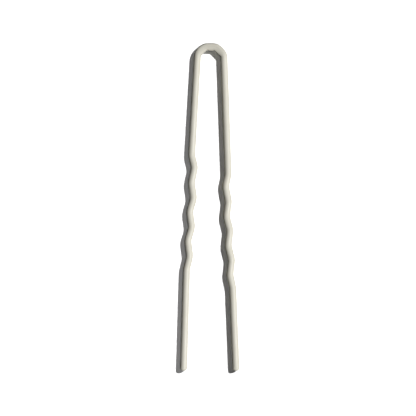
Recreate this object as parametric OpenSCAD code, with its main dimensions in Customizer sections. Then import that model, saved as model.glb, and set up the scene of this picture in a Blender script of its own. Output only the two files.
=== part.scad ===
// Waved hairpin: one spring steel wire bent into a long U and coated with baked enamel.
// It has a flat-sided bow and two crimped legs that differ a little, as the bench left them.
// It lies on z = 0 with the bow towards +Y and the tips towards -Y, centred in X and Y.

/* [Overall] */
// Length of the pin from the top of the bow to the tips
pin_len = 70; // [60:0.5:90]

/* [Wire] */
// Diameter of the bare steel wire
steel_d = 1.4; // [1:0.05:1.6]
// Thickness of the enamel on the steel
coat_t = 0.1; // [0.06:0.01:0.16]
// Radius of the rounding at the rim of each tip
tip_round = 0.6; // [0.3:0.02:0.64]

/* [Bow] */
// Width of the bow between the middles of its two sides
bow_w = 5.65; // [5:0.05:9]
// Length of the flat across the top of the bow, from corner to corner
bow_top = 1.95; // [1.5:0.05:3]
// Radius of the bow's four corners at the middle of the wire
bow_bend_r = 1.3; // [1.1:0.05:1.6]

/* [Waves] */
// Length of one wave
wave_pitch = 6.25; // [5.75:0.05:7]
// Swing of each wave in turn towards the middle of the pin
wave_in = [0.65, 0.49, 0.45, 0.44]; // [0.2:0.01:0.8]
// Swing of each wave in turn back outwards
wave_out = [0.43, 0.57, 0.59, 0.5]; // [0.2:0.01:0.8]
// Radius of each wave's bends at the middle of the wire
wave_bend_r = 3.2; // [1.5:0.1:3.8]

/* [Left leg] */
// Lean of the stretch above the waves, outwards from the middle of the pin, in degrees
left_upper_lean = 3.3; // [0.5:0.1:6]
// Length of that stretch from the bow's corner to the first wave
left_upper_len = 21.05; // [14:0.05:28]
// Lean of the line that the waves follow, in degrees
left_wave_lean = 2.45; // [0.5:0.05:5]
// How fully the crimping took in this leg, as a share of the waves' swings
left_crimp = 1; // [0.5:0.05:1.2]
// Lean of the straight prong, in degrees
left_prong_lean = 1.7; // [0.5:0.1:5]

/* [Right leg] */
// Lean of the stretch above the waves, outwards from the middle of the pin, in degrees
right_upper_lean = 2; // [0.5:0.1:6]
// Length of that stretch from the bow's corner to the first wave
right_upper_len = 25.05; // [14:0.05:28]
// Lean of the line that the waves follow, in degrees
right_wave_lean = 2.2; // [0.5:0.05:5]
// How fully the crimping took in this leg, as a share of the waves' swings
right_crimp = 0.9; // [0.5:0.05:1.2]
// Lean of the straight prong, in degrees
right_prong_lean = 2.3; // [0.5:0.1:5]

/* [Flex] */
// Distance from the top of the bow down to the point where a leg flexes
flex_drop = 8; // [7:0.25:12]
// Clearance round the ball of wire at that point
flex_gap = 0.02; // [0.01:0.005:0.04]
// Clearance between the steel and the enamel that is bonded to it
bond_gap = 0.02; // [0.015:0.005:0.03]

/* [Hidden] */
$fn = 48;

steel_color = [0.62, 0.62, 0.60];
enamel_color = [0.88, 0.87, 0.82];

// Radii of the bare wire, of the enamel's bore and of the finished wire
steel_r = steel_d / 2;
bore_r = steel_r + bond_gap;
wire_r = steel_r + coat_t;
// The rounding at a tip can't be wider than the wire
tip_r = min(tip_round, wire_r);

// Bending draws the wire this much slimmer, and a bend is let this far into its two neighbours
bend_step = 0.015;
bend_lap = 0.02;

wave_count = len(wave_in);

// One leg's own sizes, in this order
UPPER_LEAN = 0;
UPPER_LEN = 1;
WAVE_LEAN = 2;
CRIMP = 3;
PRONG_LEAN = 4;
left_leg = [left_upper_lean, left_upper_len, left_wave_lean, left_crimp, left_prong_lean];
right_leg = [right_upper_lean, right_upper_len, right_wave_lean, right_crimp, right_prong_lean];

// Each leg is laid out in its own half plan: the bow's top middle is the origin, +X is outwards
// and -Y is down the leg. A heading is the wire's angle from straight down, outwards positive.
function along(heading) = [sin(heading), -cos(heading)];
function across(heading) = [cos(heading), sin(heading)];

// The bow's sloping side turns half of the way from its top to the leg
function slope_heading(leg) = (90 + leg[UPPER_LEAN]) / 2;
function slope_len(leg) = (bow_w - bow_top) / 2 / sin(slope_heading(leg));
// What each of the bow's bends takes from the straights that meet in its corner
function corner_cut(leg) = bow_bend_r * tan((90 - slope_heading(leg)) / 2);

// Half a wave is two bends with a straight flank between them. The flank's length and its
// slope follow from the wave's half length, its swing and the radius of its bends.
function flank_len(swing) =
    sqrt(pow(wave_pitch / 2, 2) + pow(swing, 2) - 4 * wave_bend_r * swing);
function flank_slope(swing) =
    let(side = swing - 2 * wave_bend_r, centres = norm([wave_pitch / 2, side]))
    atan2(side, wave_pitch / 2) + asin(2 * wave_bend_r / centres);

// The straights of a half plan in turn, each as its heading, its length and the radius of the
// bend after it. The first is half of the bow's top, and the prong follows the last of these.
function bow_straights(leg) = [
    [90, bow_top / 2 - corner_cut(leg), bow_bend_r],
    [slope_heading(leg), slope_len(leg) - 2 * corner_cut(leg), bow_bend_r],
    [leg[UPPER_LEAN], leg[UPPER_LEN] - corner_cut(leg), wave_bend_r]
];
function wave_straights(leg) = [
    for (wave = [0:wave_count - 1], way = [-1, 1])
        let(swing = leg[CRIMP] * (way < 0 ? wave_in[wave] : wave_out[wave]))
        [leg[WAVE_LEAN] + way * flank_slope(swing), flank_len(swing), wave_bend_r]
];
UPPER = 2;

// Which way the wire turns in the bend between two headings: outwards 1, inwards -1
function turn(before, after) = sign(after - before);
function bend_centre(start, straight, after) =
    start + straight[1] * along(straight[0])
    + turn(straight[0], after) * straight[2] * across(straight[0]);
function after_bend(start, straight, after) =
    bend_centre(start, straight, after) - turn(straight[0], after) * straight[2] * across(after);

// Where each straight of a run starts
function starts(run) = [
    for (i = 0, at = [0, 0]; i < len(run);
         at = i < len(run) - 1 ? after_bend(at, run[i], run[i + 1][0]) : at, i = i + 1) at
];

// The prong runs down to the rounding of its tip, whose lowest point is at the pin's full length
function run_to_prong(leg) =
    concat(bow_straights(leg), wave_straights(leg), [[leg[PRONG_LEAN], 0, 0]]);
function prong_len(leg) =
    let(top = starts(run_to_prong(leg))[3 + 2 * wave_count],
        low = wire_r - pin_len + tip_r + (wire_r - tip_r) * sin(leg[PRONG_LEAN]))
    (top[1] - low) / cos(leg[PRONG_LEAN]);
function whole_run(leg) =
    concat(bow_straights(leg), wave_straights(leg), [[leg[PRONG_LEAN], prong_len(leg), 0]]);

// The flex point lies on the leg's upper straight, this far from that straight's start
function flex_run(leg) =
    (starts(bow_straights(leg))[UPPER][1] - wire_r + flex_drop) / cos(leg[UPPER_LEAN]);
function flex_point(leg) =
    starts(bow_straights(leg))[UPPER] + flex_run(leg) * along(leg[UPPER_LEAN]);

// How far a leg reaches outwards: at the crests of its waves or at the end of its prong
function crest_reach(leg, run, at, i) =
    bend_centre(at[i], run[i], run[i + 1][0])[0] + wave_bend_r + wire_r;
function leg_reach(leg) =
    let(run = whole_run(leg), at = starts(run), last = len(run) - 1,
        prong_end = at[last] + run[last][1] * along(leg[PRONG_LEAN]))
    max(concat(
        [prong_end[0] + (wire_r - tip_r) * cos(leg[PRONG_LEAN]) + tip_r],
        [for (wave = [0:wave_count - 1]) crest_reach(leg, run, at, UPPER + 2 * wave)]
    ));

// The top of the bow in the pin's own frame
bow_x = (leg_reach(left_leg) - leg_reach(right_leg)) / 2;
bow_y = pin_len / 2 - wire_r;

// Sets a half plan in the pin's frame, on the left with side -1 and on the right with side 1
module half_plan(side) {
    translate([bow_x, bow_y, wire_r])
        mirror([side < 0 ? 1 : 0, 0, 0])
            children();
}

// Turns what is drawn up +Z to run along a heading from a point of the half plan
module set_along(point, heading) {
    translate([point[0], point[1], 0])
        rotate([0, 0, heading])
            rotate([90, 0, 0])
                children();
}

// One bend of round wire after a straight, let a little way into both of its neighbours
module bend(start, straight, after, radius) {
    way = turn(straight[0], after);
    centre = bend_centre(start, straight, after);
    lap = bend_lap / straight[2] * 180 / PI;
    first = way > 0 ? straight[0] + 180 : after;
    translate([centre[0], centre[1], 0])
        rotate_extrude(angle = abs(after - straight[0]) + 2 * lap, start = first - lap)
            translate([straight[2], 0])
                circle(r = radius - bend_step);
}

// Straights and the bends after them, from one index of a run to another
module stretch(run, from, to, radius) {
    at = starts(run);
    for (i = [from:to]) {
        set_along(at[i], run[i][0])
            cylinder(h = run[i][1], r = radius);
        bend(at[i], run[i], run[i + 1][0], radius);
    }
}

// Quarter of a disc between +X and +Y
module quarter(radius) {
    intersection() {
        circle(r = radius);
        square(radius);
    }
}

// The top of the bow with its two corners and slopes, and each side down to its flex point
module bow_run(radius) {
    half_plan(1)
        set_along([-bow_straights(left_leg)[0][1], 0], 90)
            cylinder(h = bow_straights(left_leg)[0][1] + bow_straights(right_leg)[0][1], r = radius);
    for (half = [[-1, left_leg], [1, right_leg]])
        half_plan(half[0])
            bow_side(half[1], radius);
}

module bow_side(leg, radius) {
    run = bow_straights(leg);
    at = starts(run);
    bend(at[0], run[0], run[1][0], radius);
    stretch(run, 1, UPPER - 1, radius);
    set_along(at[UPPER], run[UPPER][0])
        cylinder(h = flex_run(leg), r = radius);
}

// The ball of room round both flex points, which cups the ends of the bow
module flex_balls(radius) {
    for (half = [[-1, left_leg], [1, right_leg]])
        half_plan(half[0])
            translate([flex_point(half[1])[0], flex_point(half[1])[1], 0])
                sphere(r = radius);
}

// The top of a leg: a ball of wire round the flex point that runs on as a straight
module flex_start(length, radius) {
    rotate_extrude() {
        mirror([0, 1])
            quarter(radius);
        square([radius, length]);
    }
}

// The straight prong with its rounded tip
module prong(length, radius) {
    rounding = tip_r - (wire_r - radius);
    rotate_extrude() {
        square([radius, length]);
        square([radius - rounding, length + rounding]);
        translate([radius - rounding, length])
            quarter(rounding);
    }
}

// A whole leg from its flex point to its tip
module leg_run(leg, radius) {
    run = whole_run(leg);
    at = starts(run);
    last = len(run) - 1;
    set_along(flex_point(leg), leg[UPPER_LEAN])
        flex_start(run[UPPER][1] - flex_run(leg), radius);
    bend(at[UPPER], run[UPPER], run[UPPER + 1][0], radius);
    stretch(run, UPPER + 1, last - 1, radius);
    set_along(at[last], leg[PRONG_LEAN])
        prong(run[last][1], radius);
}

module leg_enamel(leg) {
    difference() {
        leg_run(leg, wire_r);
        leg_run(leg, bore_r);
    }
}

// Steel core of the bow
module bow_wire() {
    color(steel_color)
        difference() {
            bow_run(steel_r);
            flex_balls(wire_r + flex_gap);
        }
}

// Enamel on the bow
module bow_enamel() {
    color(enamel_color)
        difference() {
            bow_run(wire_r);
            bow_run(bore_r);
            flex_balls(wire_r + flex_gap);
        }
}

// Steel core of the left leg
module left_leg_wire() {
    color(steel_color)
        half_plan(-1)
            leg_run(left_leg, steel_r);
}

// Enamel on the left leg, closed over its tip
module left_leg_enamel() {
    color(enamel_color)
        half_plan(-1)
            leg_enamel(left_leg);
}

// Steel core of the right leg
module right_leg_wire() {
    color(steel_color)
        half_plan(1)
            leg_run(right_leg, steel_r);
}

// Enamel on the right leg, closed over its tip
module right_leg_enamel() {
    color(enamel_color)
        half_plan(1)
            leg_enamel(right_leg);
}

bow_wire();
bow_enamel();
left_leg_wire();
left_leg_enamel();
right_leg_wire();
right_leg_enamel();
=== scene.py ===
# %% [markdown]
# # A waved hairpin
#
# The object is one length of spring steel wire, bent to a long U and coated all over with cream
# enamel. Its bow has a flat top and two sloping sides, both legs are crimped into waves, and each
# leg ends in a straight prong with a rounded tip. The pin is 70 mm long and its wire is 1.6 mm
# thick, so everything that can be seen is the shape of a line and the finish of a round wire.
#
# The pin could be made as a curve with a round bevel, or as a mesh that is drawn along the line.
# A real pin is made on a bench that feeds wire and turns it round pegs. The same two movements
# exist in edit mode as extrude and spin, so this lesson builds a small wire bench from them.

# %% The frame
import math

import bpy
import numpy as np
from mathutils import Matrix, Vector, kdtree


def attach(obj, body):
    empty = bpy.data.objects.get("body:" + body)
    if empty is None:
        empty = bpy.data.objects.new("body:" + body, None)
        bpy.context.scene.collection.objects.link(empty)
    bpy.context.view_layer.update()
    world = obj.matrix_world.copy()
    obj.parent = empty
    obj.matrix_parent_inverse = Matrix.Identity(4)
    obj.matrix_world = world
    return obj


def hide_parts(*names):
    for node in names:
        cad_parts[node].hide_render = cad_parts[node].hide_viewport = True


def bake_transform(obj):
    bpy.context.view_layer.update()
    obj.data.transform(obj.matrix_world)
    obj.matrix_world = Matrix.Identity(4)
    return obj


MM = 0.001


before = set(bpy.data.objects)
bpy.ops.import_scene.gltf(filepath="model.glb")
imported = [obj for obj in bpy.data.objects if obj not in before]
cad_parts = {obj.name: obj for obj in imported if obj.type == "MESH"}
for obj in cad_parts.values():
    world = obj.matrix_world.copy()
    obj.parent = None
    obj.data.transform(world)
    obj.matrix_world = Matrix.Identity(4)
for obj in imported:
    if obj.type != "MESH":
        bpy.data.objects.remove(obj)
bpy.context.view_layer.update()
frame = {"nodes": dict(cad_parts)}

# %% [markdown]
# ## The camera
#
# The photograph looks straight down on the pin, from so far away that its sides stay parallel.
# A long lens high above the floor does the same. The height follows from the lens: the picture is
# 88.87 mm wide where the middle of the wire lies, and the sensor is 36 mm wide.

# %% Camera
LENS = 135
SENSOR = 36
VIEW_WIDTH = 88.87 * MM
VIEW_MIDDLE = (-0.335 * MM, -0.237 * MM)
MIDDLE_HEIGHT = 0.8 * MM

photo_lens = bpy.data.cameras.new("photo_lens")
photo_lens.lens = LENS
photo_lens.sensor_width = SENSOR
photo_lens.clip_start = 0.01
camera = bpy.data.objects.new("camera", photo_lens)
bpy.context.scene.collection.objects.link(camera)
camera_height = VIEW_WIDTH * LENS / SENSOR
camera.location = (*VIEW_MIDDLE, MIDDLE_HEIGHT + camera_height)
bpy.context.scene.camera = camera
print("camera", round(camera_height / MM), "mm above the wire")

# %% [markdown]
# ## Light
#
# The photograph has hard light from the right. The pin's own shading shows that it comes in
# almost square to the legs, so their left edges turn dark. The shadow on the floor is from a lamp
# that stands as high, but further up the picture. A studio gets both with two lamps and a few
# black cards. Here the cards are light linking: each lamp has a collection that says whether it
# lights the floor. A wide, weak lamp overhead keeps the dark sides from going black.

# %% Lamps
KEY_FROM = Vector((0.67, -0.10, 0.72))
KEY_STRENGTH = 3.3
SHADOW_FROM = Vector((0.569, 0.413, 0.711))
SHADOW_STRENGTH = 3.2
SUN_DISTANCE = 0.5
SUN_WIDTH = math.radians(3)
FILL_STRENGTH = 0.10
FILL_HEIGHT = 0.6
FILL_SIZE = 0.5


def lamp(name, kind, place, strength):
    """A lamp that shines from a place towards the middle of the pin."""
    data = bpy.data.lights.new(name, kind)
    data.energy = strength
    thing = bpy.data.objects.new(name, data)
    bpy.context.scene.collection.objects.link(thing)
    thing.location = place
    thing.rotation_euler = (-Vector(place)).to_track_quat("-Z", "Y").to_euler()
    return thing


key = lamp("key_lamp", "SUN", KEY_FROM * SUN_DISTANCE, KEY_STRENGTH)
shadow_lamp = lamp("shadow_lamp", "SUN", SHADOW_FROM * SUN_DISTANCE, SHADOW_STRENGTH)
key.data.angle = shadow_lamp.data.angle = SUN_WIDTH
# The overhead lamp is about as strong on the floor as a sun of FILL_STRENGTH
fill = lamp("overhead_lamp", "AREA", (0, 0, FILL_HEIGHT),
            FILL_STRENGTH * math.pi * FILL_HEIGHT**2)
fill.data.size = FILL_SIZE
print("key", KEY_STRENGTH, "shadow", SHADOW_STRENGTH, "overhead", round(fill.data.energy, 3))

# %% [markdown]
# ## Small helpers for materials
#
# A material is a tree of nodes. One helper adds a node, sets its values and links its inputs in
# one line. The others are the nodes that come up again and again: a sum, a change of range, a mix
# of two colours, and the question of who is looking. Light Path answers that last one: it is 1
# for rays from the camera, a mirror or glass, and 0 for light that bounces on.

# %% Node helpers
def node(tree, kind, links=None, **values):
    """Adds a node, sets its properties and input values, and links inputs to other sockets."""
    made = tree.nodes.new(kind)
    for name, value in values.items():
        setattr(made, name, value)
    for socket, source in (links or {}).items():
        if isinstance(source, bpy.types.NodeSocket):
            tree.links.new(source, made.inputs[socket])
        else:
            made.inputs[socket].default_value = source
    return made


def new_material(name):
    """An empty material with its output node, ready for its nodes."""
    made = bpy.data.materials.new(name)
    made.use_nodes = True
    made.node_tree.nodes.clear()
    return made, made.node_tree, made.node_tree.nodes.new("ShaderNodeOutputMaterial")


def maths(tree, operation, *values):
    """The result of a Math node."""
    return node(tree, "ShaderNodeMath", dict(enumerate(values)), operation=operation).outputs[0]


def remap(tree, value, given=(0.0, 1.0), to=(0.0, 1.0)):
    """A value that is moved from one range to another, and kept inside it."""
    return node(tree, "ShaderNodeMapRange", {"Value": value, "From Min": given[0],
                "From Max": given[1], "To Min": to[0], "To Max": to[1]}).outputs[0]


def colour_mix(tree, share, first, second):
    """A mix of two colours, which are inputs 6 and 7 and output 2 of the Mix node."""
    return node(tree, "ShaderNodeMix", {0: share, 6: first, 7: second},
                data_type="RGBA").outputs[2]


def seen_directly(tree):
    """1 for rays from the camera, a mirror or glass, and 0 for light that bounces on."""
    path = node(tree, "ShaderNodeLightPath").outputs
    either = maths(tree, "MAXIMUM", path["Is Camera Ray"], path["Is Glossy Ray"])
    return maths(tree, "MAXIMUM", either, path["Is Transmission Ray"])


print("helpers for nodes are ready")

# %% [markdown]
# ## Floor and background
#
# The background is plain white in the photograph. More light would burn out the enamel, so the
# floor's own colour does it: the camera sees a floor that is whiter than white paper, while the
# light that it throws back on the pin comes from a darker one. The shadow is a clear grey, and
# lighter beside the left leg than beside the right one, so the floor is given a painted glow,
# stronger to the left, that lightens the shadow.

# %% Floor finish
FLOOR_SEEN = 0.76
FLOOR_BOUNCE = 0.2
# A painted glow on the floor that lightens the shadow, weaker on the right and stronger on the
# left
GLOW_WAY = (-1, -0.06, 0)
GLOW_STRETCH = (-4 * MM, 8 * MM)
GLOW_RIGHT = 0.036
GLOW_LEFT = 0.14


def paper(tree, grey):
    """A matt sheet of one grey."""
    return node(tree, "ShaderNodeBsdfDiffuse", {"Color": (grey,) * 3 + (1,)}).outputs[0]


white_floor, tree, out = new_material("white_floor")
spot = node(tree, "ShaderNodeTexCoord").outputs["Object"]
leftwards = node(tree, "ShaderNodeVectorMath", {0: spot, 1: GLOW_WAY}, operation="DOT_PRODUCT")
glow_strength = remap(tree, leftwards.outputs["Value"], GLOW_STRETCH, (GLOW_RIGHT, GLOW_LEFT))
# Painted glow: an emission on the floor, stronger to the left, that lightens the shadow
glow = node(tree, "ShaderNodeEmission", {"Strength": glow_strength})
doubled = node(tree, "ShaderNodeAddShader",
               {0: paper(tree, FLOOR_SEEN), 1: paper(tree, FLOOR_SEEN)})
seen = node(tree, "ShaderNodeAddShader", {0: doubled.outputs[0], 1: glow.outputs[0]})
floor_mix = node(tree, "ShaderNodeMixShader", {0: seen_directly(tree),
                 1: paper(tree, FLOOR_BOUNCE), 2: seen.outputs[0]})
tree.links.new(floor_mix.outputs[0], out.inputs["Surface"])
print("floor seen at", 2 * FLOOR_SEEN, "and bouncing", FLOOR_BOUNCE)

# %% [markdown]
# The floor is one large plane that the pin lies on. It is part of the stage, not of the pin. Then
# the cards go up: the shadow lamp lights only the floor, and the key lights all but the floor.

# %% Floor and its own lamp
FLOOR_SIZE = 4

bpy.ops.object.select_all(action="DESELECT")
bpy.ops.mesh.primitive_plane_add(size=FLOOR_SIZE)
floor = bpy.context.object
floor.name = "floor"
floor.data.materials.append(white_floor)

for light, state in ((shadow_lamp, "INCLUDE"), (key, "EXCLUDE")):
    card = bpy.data.collections.new(light.name + "_card")
    card.objects.link(floor)
    light.light_linking.receiver_collection = card
    card.collection_objects[0].light_linking.link_state = state
    print(light.name, state.lower() + "s the floor")

# %% [markdown]
# The room behind the floor is white for the same rays, and gives no light to the pin. The
# Standard view keeps every colour as it is set.

# %% White room
world = bpy.data.worlds.new("white_room")
bpy.context.scene.world = world
world.use_nodes = True
tree = world.node_tree
tree.nodes.clear()
room = node(tree, "ShaderNodeBackground", {"Color": (1, 1, 1, 1), "Strength": seen_directly(tree)})
tree.links.new(room.outputs[0], node(tree, "ShaderNodeOutputWorld").inputs["Surface"])
bpy.context.scene.view_settings.view_transform = "Standard"
print("world is white for the eye only")

# %% [markdown]
# ## The line of the wire
#
# The pin is drawn as a bench would bend it: straights, and arcs between them. Each leg is laid
# out from the top of the bow, and a heading is the wire's angle from straight down, outwards
# positive. The sizes are the pin's own in millimetres, and widths are between middles of the
# wire. WAVE_IN and WAVE_OUT are the swings of the waves from the bow down. The two legs differ a
# little, as they came off the bench: the right one starts its waves lower, and its crimping is
# shallower.

# %% Sizes of the pin
PIN_LEN = 70.0
WIRE_R = 0.8
STEEL_R = 0.7
TIP_ROUND = 0.6
BOW_W = 5.65
BOW_TOP = 1.95
BOW_BEND_R = 1.3
WAVE_PITCH = 6.25
WAVE_IN = [0.65, 0.49, 0.45, 0.44]
WAVE_OUT = [0.43, 0.57, 0.59, 0.5]
WAVE_BEND_R = 3.2
BOW_Y = PIN_LEN / 2 - WIRE_R

LEFT = dict(name="left", side=-1, upper_lean=3.3, upper_len=21.05, wave_lean=2.45, crimp=1.0,
            prong_lean=1.7)
RIGHT = dict(name="right", side=1, upper_lean=2.0, upper_len=25.05, wave_lean=2.2, crimp=0.9,
             prong_lean=2.3)
print(PIN_LEN, "mm long, wire", 2 * WIRE_R, "mm thick,", len(WAVE_IN), "waves on each leg")

# %% [markdown]
# A wave is two bends with a straight flank between them. Its length, its swing and the radius of
# its bends fix how long and how steep the flank is, which is a little trigonometry. The last
# straight is as long as it takes to reach the pin's full length.

# %% The bends of one leg
def straight_on(heading):
    """A step of 1 mm at a heading, as (outwards, up)."""
    a = math.radians(heading)
    return np.array([math.sin(a), -math.cos(a)])


def flank(swing):
    """Slope in degrees and length of the straight flank of half a wave."""
    side, half = swing - 2 * WAVE_BEND_R, WAVE_PITCH / 2
    slope = math.atan2(side, half) + math.asin(2 * WAVE_BEND_R / math.hypot(side, half))
    return math.degrees(slope), math.sqrt(half**2 + swing**2 - 4 * WAVE_BEND_R * swing)


def walk(run):
    """Where each straight starts, as (outwards, up) from the top of the bow."""
    at = np.zeros(2)
    found = []
    for i, (heading, length, radius) in enumerate(run):
        found.append(at.copy())
        at = at + length * straight_on(heading)
        if i + 1 < len(run):
            a, b = math.radians(heading), math.radians(run[i + 1][0])
            turn = math.copysign(radius, b - a)
            at = at + turn * np.array([math.cos(a) - math.cos(b), math.sin(a) - math.sin(b)])
    return found


def straights(leg):
    """The leg's straights from the bow's middle: [heading, length, radius of the next bend]."""
    slope = (90 + leg["upper_lean"]) / 2
    cut = BOW_BEND_R * math.tan(math.radians((90 - slope) / 2))
    slope_len = (BOW_W - BOW_TOP) / 2 / math.sin(math.radians(slope))
    run = [[90, BOW_TOP / 2 - cut, BOW_BEND_R], [slope, slope_len - 2 * cut, BOW_BEND_R],
           [leg["upper_lean"], leg["upper_len"] - cut, WAVE_BEND_R]]
    for inward, outward in zip(WAVE_IN, WAVE_OUT):
        for way, swing in ((-1, inward), (1, outward)):
            steep, length = flank(leg["crimp"] * swing)
            run.append([leg["wave_lean"] + way * steep, length, WAVE_BEND_R])
    run.append([leg["prong_lean"], 0, 0])
    top = walk(run)[-1][1]
    lean = math.radians(leg["prong_lean"])
    low = WIRE_R - PIN_LEN + TIP_ROUND + (WIRE_R - TIP_ROUND) * math.sin(lean)
    run[-1][1] = (top - low) / math.cos(lean)
    return run


print("flanks lean up to", round(flank(max(WAVE_IN))[0], 1), "degrees")

# %% [markdown]
# The bench knows two moves, feed and bend. A leg's moves run from the middle of the bow to the
# tip. For the bow, the wire comes up the left side and goes down the right side, so the left
# side's moves are taken backwards. The top of the bow sits a little off centre, so that both tips
# reach equally far out.

# %% The moves of the bench
def moves(run, side):
    """Straights and the bends between them as moves. A bend is positive to the left."""
    made = []
    for i, (heading, length, radius) in enumerate(run):
        made.append(("feed", length))
        if i + 1 < len(run):
            made.append(("bend", side * (run[i + 1][0] - heading), radius))
    return made


def backwards(forward):
    """The same wire, taken from its other end."""
    return [(m[0], -m[1], m[2]) if m[0] == "bend" else m for m in reversed(forward)]


def reach(leg):
    """How far out the leg's tip reaches from the top of the bow."""
    lean = math.radians(leg["prong_lean"])
    end = leg["starts"][-1][0] + leg["run"][-1][1] * math.sin(lean)
    return end + (WIRE_R - TIP_ROUND) * math.cos(lean) + TIP_ROUND


for leg in (LEFT, RIGHT):
    leg["run"] = straights(leg)
    leg["starts"] = walk(leg["run"])
BOW_X = (reach(LEFT) - reach(RIGHT)) / 2
print("bow's middle at x", round(BOW_X, 4), "mm, prongs",
      [round(leg["run"][-1][1], 2) for leg in (LEFT, RIGHT)], "mm long")

# %% [markdown]
# ## The wire bench
#
# A round ring of edges stands across the wire's way. Extruding it straight on feeds wire, and
# spinning it round a point beside it bends wire. Both leave the new ring selected, ready for the
# next move. A straight needs few rings, a tight bend many.

# %% Bench
ROUND = 48
FEED_STEP = 0.6
BEND_STEP_WAVE = 0.28
BEND_STEP_BOW = 0.12
TIP_STEPS = 12
WELD = 0.001


class Bench:
    """Makes one piece of wire. It keeps the place and the way of the wire's end, in mm."""

    def __init__(self, name, at, way, radius):
        self.at, self.way, self.radius = np.array(at, float), way, radius
        bpy.ops.object.select_all(action="DESELECT")
        bpy.ops.mesh.primitive_circle_add(
            vertices=ROUND, radius=radius * MM, fill_type="NOTHING", location=self.place(),
            rotation=(math.pi / 2, 0, math.radians(way) + math.pi / 2))
        bpy.ops.object.transform_apply(location=True, rotation=True, scale=True)
        self.piece = bpy.context.object
        self.piece.name = self.piece.data.name = name
        bpy.ops.object.mode_set(mode="EDIT")
        bpy.ops.mesh.select_all(action="SELECT")

    def place(self, off=(0.0, 0.0)):
        """A point in the wire's own plane, in metres."""
        return Vector((self.at[0] + off[0], self.at[1] + off[1], WIRE_R)) * MM

    def ahead(self):
        """The way of the wire's end as a step of 1 mm."""
        a = math.radians(self.way)
        return np.array([math.cos(a), math.sin(a)])

    def left(self):
        """The way to the left of the wire's end."""
        return np.array([-self.ahead()[1], self.ahead()[0]])

    def push(self, length):
        """Extrudes the ring straight on."""
        step = Vector((*(self.ahead() * length), 0)) * MM
        bpy.ops.mesh.extrude_region_move(TRANSFORM_OT_translate={"value": step})

    def feed(self, length):
        """Pushes the wire straight on."""
        steps = max(1, round(length / FEED_STEP))
        for _ in range(steps):
            self.push(length / steps)
        self.at += self.ahead() * length

    def bend(self, turn, radius):
        """Turns the wire round a peg beside it, to the left if the turn is positive."""
        off = self.left() * math.copysign(radius, turn)
        step = BEND_STEP_WAVE if radius == WAVE_BEND_R else BEND_STEP_BOW
        steps = max(2, round(math.radians(abs(turn)) * radius / step))
        # Spin counts its angle clockwise when it is run from a script
        bpy.ops.mesh.spin(steps=steps, angle=-math.radians(turn), center=self.place(off),
                          axis=(0, 0, 1))
        self.way += turn
        self.at += off - self.left() * math.copysign(radius, turn)

    def round_tip(self, rounding):
        """Draws the wire's end in to a dome with a small flat in its middle."""
        flat = self.radius - rounding
        before = (0.0, self.radius)
        for i in range(1, TIP_STEPS + 1):
            a = math.radians(90 * i / TIP_STEPS)
            now = (rounding * math.sin(a), flat + rounding * math.cos(a))
            self.push(now[0] - before[0])
            self.at += self.ahead() * (now[0] - before[0])
            bpy.ops.transform.resize(value=(now[1] / before[1],) * 3,
                                     center_override=self.place())
            before = now
        bpy.ops.mesh.edge_face_add()
        bpy.ops.mesh.poke()

    def make(self, listed):
        """Runs a list of moves."""
        for kind, *sizes in listed:
            if kind == "feed":
                self.feed(*sizes)
            else:
                self.bend(*sizes)

    def cut_off(self, close):
        """Ends the piece: closes its open ends if asked, and points its faces outwards."""
        bpy.ops.mesh.select_all(action="SELECT")
        bpy.ops.mesh.remove_doubles(threshold=WELD * MM)
        if close:
            bpy.ops.mesh.fill_holes(sides=0)
        bpy.ops.mesh.select_all(action="SELECT")
        bpy.ops.mesh.normals_make_consistent(inside=False)
        bpy.ops.object.mode_set(mode="OBJECT")
        return self.piece


print("bench: rings of", ROUND, "points, a bow's bend has one every", BEND_STEP_BOW, "mm")

# %% [markdown]
# ## Where the pieces meet
#
# The wire is unbroken, but its legs flex, so the model has three pieces of wire: the bow, which
# stays still, and two legs. They meet just below the bow's lower corners, where the wire is
# straight, so the round ends fit each other and the shading runs on over the joint. Solid wire is
# closed at both ends. A tube is left open, for its wall will close it.

# %% Bow and legs
SEAM_Y = 31.85


def on_pin(leg, point):
    """A point of the leg's own layout, in the pin's frame."""
    return BOW_X + leg["side"] * point[0], BOW_Y + point[1]


def seam(leg):
    """How far down the leg's upper straight the joint is, and where that is."""
    start = leg["starts"][2]
    down = (BOW_Y + start[1] - SEAM_Y) / math.cos(math.radians(leg["upper_lean"]))
    return down, on_pin(leg, start + down * straight_on(leg["upper_lean"]))


def bow_piece(name, radius):
    """The wire from the left joint over the top of the bow to the right joint."""
    bench = Bench(name, seam(LEFT)[1], 90 - LEFT["upper_lean"], radius)
    halves = []
    for leg in (LEFT, RIGHT):
        run = [list(part) for part in leg["run"][:3]]
        run[2][1] = seam(leg)[0]
        halves.append(moves(run, leg["side"]))
    bench.make(backwards(halves[0]) + halves[1])
    return bench.cut_off(close=radius < WIRE_R)


def leg_piece(name, leg, radius):
    """The wire of one leg from its joint to its rounded tip."""
    down, at = seam(leg)
    bench = Bench(name, at, -90 + leg["side"] * leg["upper_lean"], radius)
    run = [list(part) for part in leg["run"][2:]]
    run[0][1] -= down
    bench.make(moves(run, leg["side"]))
    bench.round_tip(TIP_ROUND - (WIRE_R - radius))
    return bench.cut_off(close=radius < WIRE_R)


print("joints at x", [round(seam(leg)[1][0], 2) for leg in (LEFT, RIGHT)], "y", SEAM_Y, "mm")

# %% [markdown]
# The steel core is solid wire. The enamel is a skin on it: a tube of the full thickness, which
# Solidify gives a wall inwards. It stays clear of the steel by a hundredth of a millimetre.

# %% Enamel and steel
COAT_T = 0.09


def enamel_skin(piece):
    """Gives a skin of enamel its thickness, inwards."""
    wall = piece.modifiers.new("coat", "SOLIDIFY")
    wall.thickness = COAT_T * MM
    wall.offset = -1
    bpy.context.view_layer.objects.active = piece
    bpy.ops.object.modifier_apply(modifier=wall.name)


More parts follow.
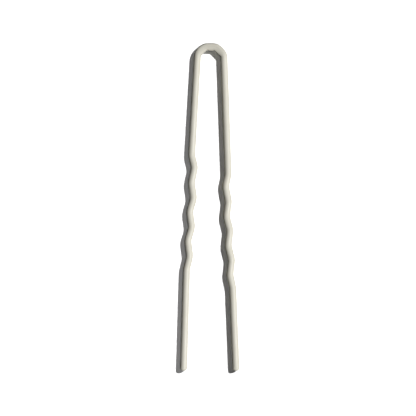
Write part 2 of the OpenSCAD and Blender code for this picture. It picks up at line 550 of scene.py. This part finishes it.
pieces = {}
for kind, radius in (("enamel", WIRE_R), ("steel", STEEL_R)):
    wires = [bow_piece(kind + "_bow", radius)]
    for leg in (LEFT, RIGHT):
        wires.append(leg_piece(kind + "_" + leg["name"] + "_leg", leg, radius))
    for piece in wires:
        if kind == "enamel":
            enamel_skin(piece)
        pieces[piece.name] = piece
        print(piece.name, len(piece.data.vertices), "points")

# %% [markdown]
# ## The place on the wire
#
# The press and the finish both need to know where on the wire a point lies: how far along, how far
# across, how high. A line down the middle of the wire is walked in small steps, from the left tip
# over the bow to the right tip. Distances along it are counted from the middle of the bow.

# %% Middle line of the wire
LINE_STEP = 0.05
SPARE = 1.0


def middle_line():
    """Points and ways of the wire from tip to tip, with a little to spare at both ends."""
    prong = LEFT["run"][-1][1] + SPARE
    at = np.array(on_pin(LEFT, LEFT["starts"][-1] + prong * straight_on(LEFT["prong_lean"])))
    way = math.pi / 2 - math.radians(LEFT["prong_lean"])
    points, ways = [], []
    spare = [("feed", SPARE)]
    for move in spare + backwards(moves(LEFT["run"], -1)) + moves(RIGHT["run"], 1) + spare:
        turn = math.radians(move[1]) if move[0] == "bend" else 0
        length = abs(turn) * move[2] if turn else move[1]
        steps = max(1, round(length / LINE_STEP))
        for _ in range(steps):
            points.append(at)
            ways.append(way)
            half = way + turn / steps / 2
            at = at + length / steps * np.array([math.cos(half), math.sin(half)])
            way += turn / steps
    return np.array(points), np.stack([np.cos(ways), np.sin(ways)], 1)


LINE, LINE_WAY = middle_line()
LINE_ALONG = np.concatenate([[0], np.cumsum(np.linalg.norm(np.diff(LINE, axis=0), axis=1))])
LINE_ALONG -= LINE_ALONG[np.argmin(np.hypot(LINE[:, 0] - BOW_X, LINE[:, 1] - BOW_Y))]
print("the wire is", round(LINE_ALONG[-1] - LINE_ALONG[0] - 2 * SPARE, 1), "mm long")

# %% [markdown]
# Each point of a mesh looks up the nearest step of the line. A KD tree does this quickly. What
# is left over, measured with and square to the wire's way, is the rest along and the place across.

# %% Place on the wire
finder = kdtree.KDTree(len(LINE))
for i, point in enumerate(LINE):
    finder.insert((*point, 0), i)
finder.balance()


def read_points(piece):
    """A piece's points in millimetres."""
    co = np.empty(len(piece.data.vertices) * 3)
    piece.data.vertices.foreach_get("co", co)
    return co.reshape(-1, 3) / MM


def place_on_wire(co):
    """Along the wire from the bow's middle, across it outwards, up, and the wire's way there."""
    nearest = np.array([finder.find((x, y, 0))[1] for x, y, _ in co])
    off = co[:, :2] - LINE[nearest]
    way = LINE_WAY[nearest]
    along = LINE_ALONG[nearest] + (off * way).sum(1)
    across = off[:, 1] * way[:, 0] - off[:, 0] * way[:, 1]
    return along, across, co[:, 2] - WIRE_R, way


print("the line has", len(LINE), "steps")

# %% [markdown]
# ## The press
#
# The bow is set in a flat die, which leaves its wire flatter than round. Every height is drawn in
# towards the half gap of the die, softly, so the edge between the flat and the round side stays
# rounded. Down the sloping sides the flat runs out, so the wire is round again where the pieces
# meet. What is pressed down has to go somewhere: the wire swells outwards on the slopes, and
# inwards on the top. The left slope is also bent further out than the right one. A lattice or a
# proportional edit could do the same, but the places along the wire say it in plain numbers.

# %% Press
PRESSED_HEIGHT = 0.64
PRESS_FULL = 1.2
PRESS_NONE = 4.0
DIE_EDGE = 8
SLOPE_SWELL = dict(middle=2.2, half=1.6, most=0.19)
TOP_SWELL = dict(middle=0.2, half=1.4, most=0.10)
LEFT_BULGE = dict(middle=-2.2, half=1.7, most=0.13)


def swell(along, middle, half, most):
    """A smooth swelling round one place of the wire, in mm."""
    x = np.clip((along - middle) / half, -1, 1)
    return most * (1 - x * x) ** 2


def press(piece, depth):
    """Flattens the bow's wire. depth is how deep this surface lies below the enamel's."""
    co = read_points(piece)
    along, across, up, way = place_on_wire(co)
    t = np.clip((PRESS_NONE - np.abs(along)) / (PRESS_NONE - PRESS_FULL), 0, 1)
    fade = t * t * (3 - 2 * t)
    half_gap = PRESSED_HEIGHT - depth
    pressed = up / (1 + (np.abs(up) / half_gap) ** DIE_EDGE) ** (1 / DIE_EDGE)
    co[:, 2] += fade * (pressed - up)
    side = across / WIRE_R
    spread = swell(np.abs(along), **SLOPE_SWELL) * (1 + side) / 2
    spread += swell(along, **LEFT_BULGE) - swell(along, **TOP_SWELL) * (1 - side) / 2
    co[:, 0] -= way[:, 1] * spread
    co[:, 1] += way[:, 0] * spread
    piece.data.vertices.foreach_set("co", (co * MM).ravel())
    piece.data.update()


def note_place(piece):
    """Stores each point's place on the wire: across, up and along, in mm."""
    along, across, up, _ = place_on_wire(read_points(piece))
    place = piece.data.attributes.new("wire_place", "FLOAT_VECTOR", "POINT")
    place.data.foreach_set("vector", np.stack([across, up, along], 1).ravel().astype(np.float32))


print("the die's gap is", 2 * PRESSED_HEIGHT, "mm")

# %% [markdown]
# The place is noted before the press, so the finish doesn't stretch with it. Then all faces are
# shaded smooth, and only the sharp rims at the joints keep their edge.

# %% Pressed pieces
SMOOTH_BELOW = math.radians(50)

for name, piece in pieces.items():
    note_place(piece)
    press(piece, 0 if name.startswith("enamel") else WIRE_R - STEEL_R)
    bpy.ops.object.select_all(action="DESELECT")
    piece.select_set(True)
    bpy.context.view_layer.objects.active = piece
    bpy.ops.object.shade_smooth_by_angle(angle=SMOOTH_BELOW)
    print(name, "is up to", round(read_points(piece)[:, 2].max(), 2), "mm high")

# %% [markdown]
# ## Surface relief that both finishes share
#
# Wire is never perfectly even. Drawing leaves fine lines along it, and a baked coat settles with
# a faint orange peel. Both materials need such relief at their own strength, so it is one node
# group. It reads the place on the wire, so the lines follow every bend. The Bump node in each
# material sets how many millimetres a height of 1 is.

# %% Wire relief group
relief = bpy.data.node_groups.new("wire_relief", "ShaderNodeTree")
for name, default in (("Lines", 0.5), ("Peel", 0.5), ("Peel Size", 0.3)):
    socket = relief.interface.new_socket(name, in_out="INPUT", socket_type="NodeSocketFloat")
    socket.default_value = default
for name in ("Height", "Streaks"):
    relief.interface.new_socket(name, in_out="OUTPUT", socket_type="NodeSocketFloat")

given = node(relief, "NodeGroupInput").outputs
result = node(relief, "NodeGroupOutput").inputs
print("inputs", [socket.name for socket in given if socket.name])

# %% [markdown]
# Both are noise on the place on the wire. For the lines it is drawn out along the wire, and for
# the peel it isn't. The lines are also given out by themselves, as streaks from 0 to 1.

# %% Lines and peel
DRAWN_OUT = (1, 1, 0.06)


def wire_place(tree):
    """The place on the wire that the meshes have stored."""
    return node(tree, "ShaderNodeAttribute", attribute_name="wire_place").outputs["Vector"]


on_wire = wire_place(relief)
drawn = node(relief, "ShaderNodeMapping", {"Vector": on_wire, "Scale": DRAWN_OUT})
lines = node(relief, "ShaderNodeTexNoise", {"Vector": drawn.outputs[0], "Scale": 6.0,
             "Detail": 3.0, "Roughness": 0.6}).outputs["Fac"]
peel_scale = maths(relief, "DIVIDE", 1.0, given["Peel Size"])
peel = node(relief, "ShaderNodeTexNoise", {"Vector": on_wire, "Scale": peel_scale,
            "Detail": 1.5, "Roughness": 0.4}).outputs["Fac"]
lines_part = maths(relief, "MULTIPLY", lines, given["Lines"])
height = maths(relief, "MULTIPLY_ADD", peel, given["Peel"], lines_part)
relief.links.new(height, result["Height"])
relief.links.new(remap(relief, lines, (0.35, 0.65)), result["Streaks"])
print("relief group with", len(relief.nodes), "nodes")

# %% [markdown]
# A material places the group with its own values. It ends in the same way for enamel and steel:
# the gloss follows the streaks, and the bump follows the height.

# %% Start and end of a finish
def relief_in(tree, **values):
    """Places the relief group in a material with its own values."""
    made = node(tree, "ShaderNodeGroup", node_tree=relief)
    for name, value in values.items():
        made.inputs[name.replace("_", " ")].default_value = value
    return made


def surface(tree, out, colour, relief_node, roughness, depth, more):
    """Ends a material. depth is a relief height of 1, in mm; more has other shader values."""
    gloss = remap(tree, relief_node.outputs["Streaks"], to=roughness)
    bump = node(tree, "ShaderNodeBump", {"Height": relief_node.outputs["Height"],
                "Strength": 1.0, "Distance": depth * MM})
    shader = node(tree, "ShaderNodeBsdfPrincipled", {"Base Color": colour, "Roughness": gloss,
                  "Normal": bump.outputs[0], **more})
    tree.links.new(shader.outputs[0], out.inputs["Surface"])


print("both finishes can begin")

# %% [markdown]
# ## Cream enamel
#
# The coat is an epoxy enamel in a warm ivory, with a satin gloss. It isn't one flat colour: it is
# a shade deeper in slow patches where it lies thicker, and it is a little greyer in streaks along
# the bow, which are painted shade for the bow's light and dark streaks. The colour could be
# painted on, but noise on the wire's own coordinates needs no image, follows every bend, and stays
# fine at any zoom.

# %% Enamel colour
ENAMEL = (0.745, 0.724, 0.631, 1)
ENAMEL_DEEP = (0.705, 0.677, 0.575, 1)
# A greyer enamel for the streaks of painted shade along the bow
ENAMEL_SHADE_STREAK = (0.655, 0.632, 0.548, 1)
PATCH_STRETCH = (0.9, 0.9, 0.28)

enamel, tree, out = new_material("enamel_finish")
enamel_relief = relief_in(tree, Peel=1.0, Peel_Size=0.45)
on_wire = wire_place(tree)
slow = node(tree, "ShaderNodeMapping", {"Vector": on_wire, "Scale": PATCH_STRETCH})
patches = node(tree, "ShaderNodeTexNoise", {"Vector": slow.outputs[0], "Scale": 1.1,
               "Detail": 2.0}).outputs["Fac"]
deeper = remap(tree, patches, (0.4, 0.75), (0.0, 0.8))
thickness_tint = colour_mix(tree, deeper, ENAMEL, ENAMEL_DEEP)
print("enamel", ENAMEL[:3], "to", ENAMEL_DEEP[:3])

# %% [markdown]
# The greyer streaks are painted shade, and only the bow has them, so they fade out below it. The
# drawn lines of the relief are deeper there too, where the die has dragged along the wire.

# %% Streaks of painted shade on the pressed bow
STREAKS_FADE = (3.0, 5.0)
LINES_ON_LEG = 0.35
LINES_ON_BOW = 1.6

axes = node(tree, "ShaderNodeSeparateXYZ", {0: on_wire})
from_middle = maths(tree, "ABSOLUTE", axes.outputs[2])
on_bow = remap(tree, from_middle, STREAKS_FADE, (1.0, 0.0))
# Painted shade: streaks on the bow only, mixed towards the greyer enamel
shade_streaks_on_bow = maths(tree, "MULTIPLY", enamel_relief.outputs["Streaks"], on_bow)
enamel_tint = colour_mix(tree, shade_streaks_on_bow, thickness_tint, ENAMEL_SHADE_STREAK)
tree.links.new(remap(tree, on_bow, to=(LINES_ON_LEG, LINES_ON_BOW)),
               enamel_relief.inputs["Lines"])
print("streaks fade out", STREAKS_FADE, "mm from the bow's middle")

# %% [markdown]
# The gloss is satin, so the highlight along the wire is wide and soft. The specular level is low,
# because the photograph shows hardly any mirrored light on the pin.

# %% Enamel gloss
ENAMEL_ROUGHNESS = (0.31, 0.43)
ENAMEL_DEPTH = 0.007

surface(tree, out, enamel_tint, enamel_relief, ENAMEL_ROUGHNESS, ENAMEL_DEPTH,
        {"IOR": 1.5, "Specular IOR Level": 0.15})
print("enamel with", len(tree.nodes), "nodes")

# %% [markdown]
# ## Spring steel
#
# The core shows only where the pin is cut or taken apart. It is bright drawn wire, so it is a
# metal with strong lines along its length and a grey that varies a little with them.

# %% Steel finish
STEEL_DARK = (0.36, 0.36, 0.345, 1)
STEEL_BRIGHT = (0.48, 0.48, 0.455, 1)
STEEL_ROUGHNESS = (0.26, 0.38)
STEEL_DEPTH = 0.006

steel, tree, out = new_material("steel_finish")
steel_relief = relief_in(tree, Lines=1.0, Peel=0.1, Peel_Size=0.2)
steel_tint = colour_mix(tree, steel_relief.outputs["Streaks"], STEEL_DARK, STEEL_BRIGHT)
surface(tree, out, steel_tint, steel_relief, STEEL_ROUGHNESS, STEEL_DEPTH, {"Metallic": 1.0})
print("steel with", len(tree.nodes), "nodes")

# %% [markdown]
# Each piece gets its finish. The frame's own nodes stay hidden behind the pieces that replace
# them, but they get the same finishes.

# %% Finishes
meshes = dict(pieces)
meshes.update(frame["nodes"])
for name, thing in meshes.items():
    thing.data.materials.clear()
    thing.data.materials.append(enamel if "enamel" in name else steel)
print(len(meshes), "meshes have a finish")

# %% [markdown]
# ## On to the frame
#
# The bow rides on its body. A leg is unbroken wire, so it doesn't hinge. Its pieces keep their
# place in the pin's frame.


# %% [markdown]
# Each piece takes the place of one solid of the frame, whose own node is hidden.

# %% Riding, and the frame's solids hidden
for kind, cad_part, slot in (("enamel", "enamel", "cream_enamel"),
                             ("steel", "wire", "spring_steel")):
    bow = pieces[kind + "_bow"]
    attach(bow, "bow")
    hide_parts("bow_" + cad_part)
    for leg in (LEFT, RIGHT):
        body = leg["name"] + "_leg"
        piece = pieces[kind + "_" + body]
        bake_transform(piece)
        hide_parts(body + "_" + cad_part)
